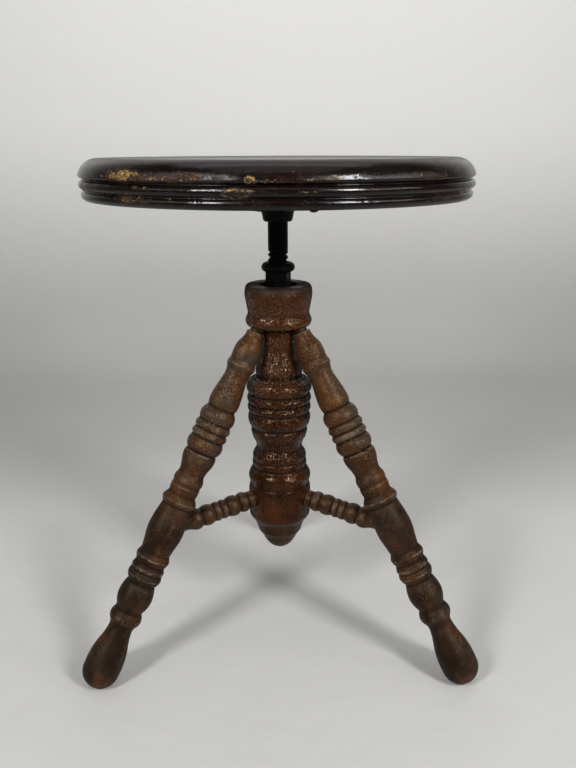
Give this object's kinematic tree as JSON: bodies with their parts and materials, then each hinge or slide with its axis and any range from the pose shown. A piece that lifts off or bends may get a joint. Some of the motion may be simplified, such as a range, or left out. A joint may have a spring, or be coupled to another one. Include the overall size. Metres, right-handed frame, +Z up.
{
  "type": "revolving piano stool",
  "caption": "Round wooden piano stool that turns up and down on an iron screw spindle, on a turned column and splayed turned legs tied by stretchers.",
  "frame": {"origin": "on the floor, on the axis of the screw spindle and the column", "axes": "+Z up along the spindle; +Y over the back leg, away from the picture's camera; +X to the right as pictured, with the other two legs 120 degrees to either side"},
  "size_m": [0.3878, 0.4003, 0.4951],
  "materials": {
    "seat_wood": "gloss varnish, very dark brown, worn at the rim",
    "plate_iron": "black japanned casting",
    "screw_steel": "darkened steel",
    "spindle_iron": "black oiled iron",
    "nut_iron": "black oiled iron",
    "column_wood": "crazed red-brown varnish",
    "leg_wood": "worn dark brown varnish",
    "stretcher_wood": "worn brown varnish with lighter edges",
    "washer_iron": "oiled iron"
  },
  "bodies": {
    "base": {"column": "column_wood", "spindle_nut": "nut_iron", "leg_left": "leg_wood", "leg_right": "leg_wood", "leg_back": "leg_wood", "stretcher_left": "stretcher_wood", "stretcher_right": "stretcher_wood", "stretcher_back": "stretcher_wood"},
    "spindle_stop": {"stop_washer": "washer_iron"},
    "turning_seat": {"seat": "seat_wood", "seat_plate": "plate_iron", "plate_screws": "screw_steel", "spindle": "spindle_iron", "stop_pin": "screw_steel"}
  },
  "joints": [
    {"name": "seat_rise", "type": "slide", "parent": "base", "child": "spindle_stop", "axis": [0, 0, 1], "range_m": [-0.01016, 0.09144]},
    {"name": "seat_turn", "type": "hinge", "parent": "spindle_stop", "child": "turning_seat", "pos_m": [0, 0, 0.46], "axis": [0, 0, 1], "range_deg": [-720, 6480]}
  ],
  "couplings": [
    {"joint": "seat_rise", "follows": "seat_turn", "m_per_rad": 0.0008085}
  ]
}
